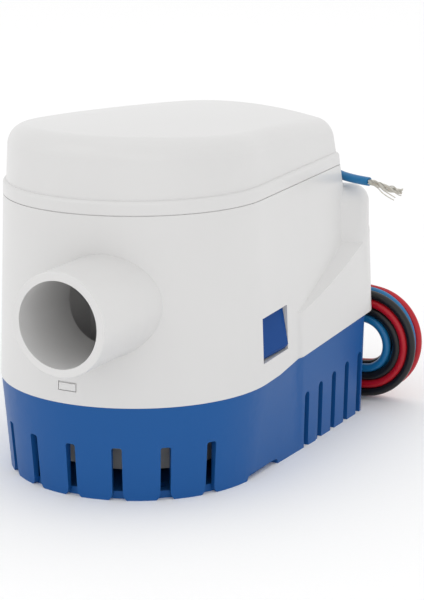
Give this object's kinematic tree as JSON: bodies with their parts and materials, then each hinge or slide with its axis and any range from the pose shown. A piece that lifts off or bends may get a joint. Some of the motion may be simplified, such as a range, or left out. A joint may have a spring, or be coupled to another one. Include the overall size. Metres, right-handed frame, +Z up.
{
  "type": "bilge pump",
  "caption": "Automatic electric bilge pump with a round housing, side outlet nozzle, built-in float switch chamber, slotted clip-on strainer base and coloured leads.",
  "frame": {"origin": "on the motor axis, on the floor face of the strainer base", "axes": "+Z up along the motor axis, -Y out of the outlet nozzle, +Y towards the float chamber, +X to the side that the nozzle is offset to"},
  "size_m": [0.1116, 0.1548, 0.1029],
  "materials": {
    "white_shell": "satin moulded white plastic",
    "blue_base": "satin moulded blue plastic",
    "grey_pump": "light grey moulded plastic",
    "black_impeller": "glass-filled black plastic",
    "black_rubber": "soft moulded rubber",
    "stainless_steel": "ground stainless steel",
    "zinc_can": "zinc plated drawn steel",
    "laminated_iron": "stacked laminations",
    "enamelled_copper": "varnished copper windings",
    "copper_segments": "turned copper",
    "ferrite": "sintered ferrite",
    "carbon": "pressed carbon",
    "sintered_bronze": "oil-filled bronze",
    "brass": "stamped brass",
    "circuit_board": "green solder mask",
    "component_black": "moulded epoxy",
    "capacitor_sleeve": "shrink sleeve",
    "float_foam": "hollow white plastic",
    "red_insulation": "soft PVC wire insulation",
    "black_insulation": "soft PVC wire insulation",
    "blue_insulation": "soft PVC wire insulation",
    "tinned_copper": "tinned fine copper strands",
    "nylon_tie": "natural nylon"
  },
  "bodies": {
    "housing": {"main_housing": "white_shell", "top_cover": "white_shell", "cover_seal": "black_rubber", "strainer_base": "blue_base", "volute_casing": "grey_pump", "intake_plate": "grey_pump", "intake_screws": "stainless_steel", "shaft_seal": "black_rubber", "motor_can": "zinc_can", "lower_bush": "sintered_bronze", "upper_bush": "sintered_bronze", "motor_end_cap": "component_black", "brush_right": "carbon", "brush_left": "carbon", "brush_springs": "brass", "magnet_right": "ferrite", "magnet_left": "ferrite", "motor_terminals": "brass", "board_posts": "white_shell", "control_board": "circuit_board", "board_screws": "stainless_steel", "power_switch": "component_black", "smoothing_capacitor": "capacitor_sleeve", "float_sensor": "component_black", "pivot_pin": "stainless_steel", "cable_gland": "black_rubber", "red_lead": "red_insulation", "black_lead": "black_insulation", "blue_lead": "blue_insulation", "blue_tail": "blue_insulation", "lead_hank": "black_insulation", "hank_tie": "nylon_tie", "bare_strands": "tinned_copper"},
    "rotor": {"motor_shaft": "stainless_steel", "impeller": "black_impeller", "rotor_core": "laminated_iron", "rotor_windings": "enamelled_copper", "commutator": "copper_segments"},
    "float": {"float_shell": "float_foam", "float_cap": "float_foam", "float_magnet": "ferrite"},
    "latch_right": {"side_latch_right": "blue_base"},
    "latch_left": {"side_latch_left": "blue_base"}
  },
  "joints": [
    {"name": "rotor_spin", "type": "hinge", "parent": "housing", "child": "rotor", "pos_m": [0, 0, 0.04], "axis": [0, 0, 1], "continuous": true},
    {"name": "float_tilt", "type": "hinge", "parent": "housing", "child": "float", "pos_m": [0, 0.04, 0.0125], "axis": [1, 0, 0], "range_deg": [0, 25]},
    {"name": "latch_right_press", "type": "hinge", "parent": "housing", "child": "latch_right", "pos_m": [0.0357, 0.0094, 0.0095], "axis": [0, -1, 0], "range_deg": [0, 4.5], "stiffness_Nm_per_rad": 1},
    {"name": "latch_left_press", "type": "hinge", "parent": "housing", "child": "latch_left", "pos_m": [-0.0357, 0.0094, 0.0095], "axis": [0, 1, 0], "range_deg": [0, 4.5], "stiffness_Nm_per_rad": 1}
  ]
}
